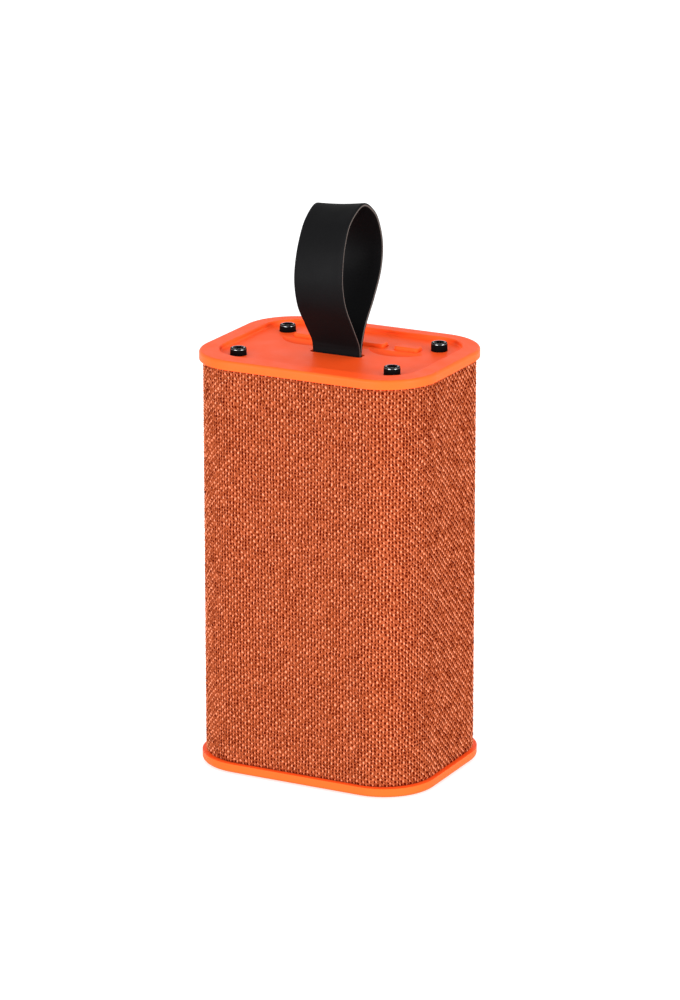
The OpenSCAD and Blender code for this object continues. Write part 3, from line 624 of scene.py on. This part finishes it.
def build_cap_screws():
    """Four black socket screws: threaded shank, knurled head, edges rubbed bright, hexagon socket."""
    vertices = np.array([v.co for v in nodes["cap_screws"].data.vertices]) / MM
    points, faces, parts = [], [], []
    for sx, sy in ((-1, -1), (-1, 1), (1, -1), (1, 1)):
        mine = vertices[(vertices[:, 0] * sx > 0) & (vertices[:, 1] * sy > 0)]
        low, high = mine.min(axis=0), mine.max(axis=0)
        rings, finish = screw_profile(head_r=(high[0] - low[0]) / 2, shank_end=low[2] - high[2])
        faces.append(tube_faces(len(rings), SCREW_SIDES) + sum(len(p) for p in points))
        points.append(lathe(rings, SCREW_SIDES) + [*(low + high)[:2] / 2, high[2]])
        parts.append(np.repeat(finish, SCREW_SIDES))
    finishes = [materials[name] for name in SCREW_FINISHES]
    piece = new_piece("cap_screw_set", np.concatenate(points), np.concatenate(faces), finishes,
                      parts=np.concatenate(parts))
    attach(piece, "housing")
    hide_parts("cap_screws")


# ---------------------------------------------------------------- strap

STRAP_THICK = 0.95
STRAP_EDGE = 0.28       # radius of the band's rounded edges
RECESS_DEPTH = 1.3      # of the top cap's recess, whose floor the strap comes out of
SLOT_GAP = 0.06         # between the two legs in the slot

# the loop's two edges, front leg first, as (Y, height over the recess floor)
RIGHT_EDGE = [(-2.2, 2.1), (-3.1, 4.0), (-6.8, 9.2), (-11.0, 15.3), (-12.9, 21.3), (-12.9, 27.0),
              (-11.6, 32.8), (-8.2, 38.5), (-0.6, 41.8), (6.2, 38.3), (9.7, 32.9), (10.9, 27.2),
              (9.6, 21.0), (5.6, 14.5), (1.7, 8.9), (-0.2, 4.5)]
LEFT_EDGE = [(-2.2, 2.1), (-2.9, 4.0), (-6.3, 8.8), (-10.1, 14.4), (-11.9, 20.6), (-11.5, 26.1),
             (-9.3, 32.0), (-5.6, 37.2), (0.4, 40.2), (5.8, 36.9), (9.1, 31.9), (10.4, 26.6),
             (9.2, 20.6), (5.3, 14.4), (1.7, 8.9), (-0.2, 4.5)]


def smooth_line(points, steps=8):
    """Catmull-Rom curve through the points of a closed line."""
    p = np.asarray(points, float)
    count = len(p)
    t = (np.arange(steps) / steps)[:, None]
    out = []
    for i in range(count):
        a, b, c, d = p[i - 1], p[i], p[(i + 1) % count], p[(i + 2) % count]
        out.append(0.5 * (2 * b + (c - a) * t + (2 * a - 5 * b + 4 * c - d) * t ** 2
                          + (3 * b - a - 3 * c + d) * t ** 3))
    return np.concatenate(out)


def strap_edge_line(loop, pin_y, pin_height, pin_r):
    """An edge of the band, once round: under the pin, up the front leg, over the loop and down the
    rear leg."""
    leg = STRAP_THICK / 2 + SLOT_GAP / 2
    bend = pin_r + STRAP_THICK / 2
    bottom = [(pin_y + bend * math.sin(a), pin_height - bend * math.cos(a))
              for a in np.radians([100, 50, 0, -50, -100])]
    front = [(pin_y - leg - 0.1, -2.6), (pin_y - leg, -1.4), (pin_y - leg, 0.2)]
    rear = [(pin_y + leg, 0.2), (pin_y + leg, -1.4), (pin_y + leg + 0.1, -2.6)]
    return smooth_line(bottom + front + loop + rear)


def strap_section(width):
    """The band cut across, going round once: flat faces and half-round edges. The second number
    grows towards the inside of the loop."""
    flat_points = 14
    flat_x = np.linspace(-width / 2 + STRAP_EDGE, width / 2 - STRAP_EDGE, flat_points)
    half_thick = STRAP_THICK / 2
    turn = np.radians([22.5, 45, 67.5])
    arc = list(zip(width / 2 - STRAP_EDGE + STRAP_EDGE * np.sin(turn),
                   half_thick - STRAP_EDGE + STRAP_EDGE * np.cos(turn)))
    section = [(x, half_thick) for x in flat_x]
    section += arc
    section += [(width / 2, half_thick - STRAP_EDGE), (width / 2, 0), (width / 2, STRAP_EDGE - half_thick)]
    section += [(x, -z) for x, z in reversed(arc)]
    section += [(-x, -z) for x, z in section]
    return np.array(section)


def build_strap():
    """One closed band: up from the pin as the front leg, over, and down to the pin again. Its right
    edge stands a little larger than its left, because the band is twisted."""
    low, high = corners("strap_loop")
    width = high[0] - low[0]
    pin_low, pin_high = corners("strap_pin")
    pin_y, pin_z = (pin_low[1:] + pin_high[1:]) / 2
    floor = corners("top_cap")[1][2] - RECESS_DEPTH
    left, right = (strap_edge_line(loop, pin_y, pin_z - floor, (pin_high[2] - pin_low[2]) / 2)
                   for loop in (LEFT_EDGE, RIGHT_EDGE))
    section = strap_section(width)

    # the band is pinched to 14 mm where it leaves the slot
    pinch, pinch_height = 0.065, 14
    half_width = width / 2 * (1 - pinch * np.clip(1 - left[:, 1] / pinch_height, 0, 1))
    left_end = np.column_stack([-half_width, left[:, 0], left[:, 1] + floor])
    right_end = np.column_stack([half_width, right[:, 0], right[:, 1] + floor])
    across = right_end - left_end
    both = left_end + right_end
    ahead = np.roll(both, -1, axis=0) - np.roll(both, 1, axis=0)
    inward = np.cross(ahead, across)
    inward /= np.linalg.norm(inward, axis=1, keepdims=True)

    # each edge follows its own line, and the top of the loop sags a little between them
    sag, sag_from, sag_full = 0.3, 32, 40
    share = section[:, 0] / width + 0.5
    top = np.clip((left[:, 1] - sag_from) / (sag_full - sag_from), 0, 1)
    spine = left_end[:, None] + share[:, None] * across[:, None]
    lift = section[:, 1] + sag * np.sin(np.pi * share) * top[:, None]
    points = (spine + lift[..., None] * inward[:, None]).reshape(-1, 3)
    faces = tube_faces(len(left), len(section), closed=True)[:, [0, 3, 2, 1]]

    # a painted highlight: a lighter colour along the inner half of the cut edge
    on_edge = (np.abs(section[:, 0]) > width / 2 - STRAP_EDGE / 2) & (section[:, 1] >= 0)
    parts = np.tile(on_edge & np.roll(on_edge, -1), len(left))
    finishes = [materials["strap_rubber"], materials["strap_edge_highlight"]]
    piece = new_piece("finger_strap", points, faces, finishes, parts=parts)
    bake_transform(piece)
    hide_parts("strap_loop", "strap_tail")


build_cloth()
build_strap()
build_cap_screws()
